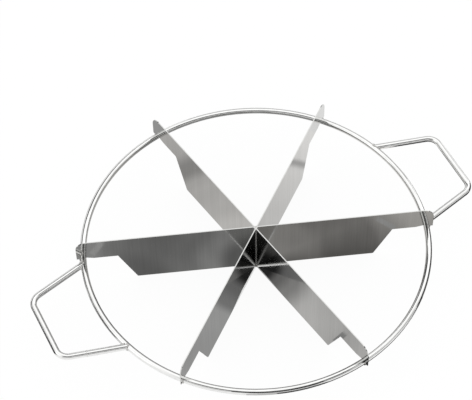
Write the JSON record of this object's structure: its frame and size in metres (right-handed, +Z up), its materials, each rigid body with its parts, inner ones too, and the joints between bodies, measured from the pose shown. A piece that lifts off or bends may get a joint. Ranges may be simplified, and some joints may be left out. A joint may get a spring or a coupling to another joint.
{
  "type": "cake portion marker",
  "caption": "Steel wire ring with folded cutting blades that meet at its centre and a bent wire handle on each side, for marking a round cake into equal slices.",
  "frame": {"origin": "middle of the ring, at the level of the blades' lower edges", "axes": "+X out along one handle, +Z up, along the height of the blades"},
  "size_m": [0.374, 0.2862, 0.052],
  "materials": {
    "wire": "bright polished stainless wire",
    "sheet": "polished stainless sheet with fine upright brushing"
  },
  "bodies": {
    "root": {"ring": "wire", "handle_right": "wire", "handle_left": "wire", "blade_pair_back": "sheet", "blade_pair_left": "sheet", "blade_pair_right": "sheet"}
  },
  "joints": []
}
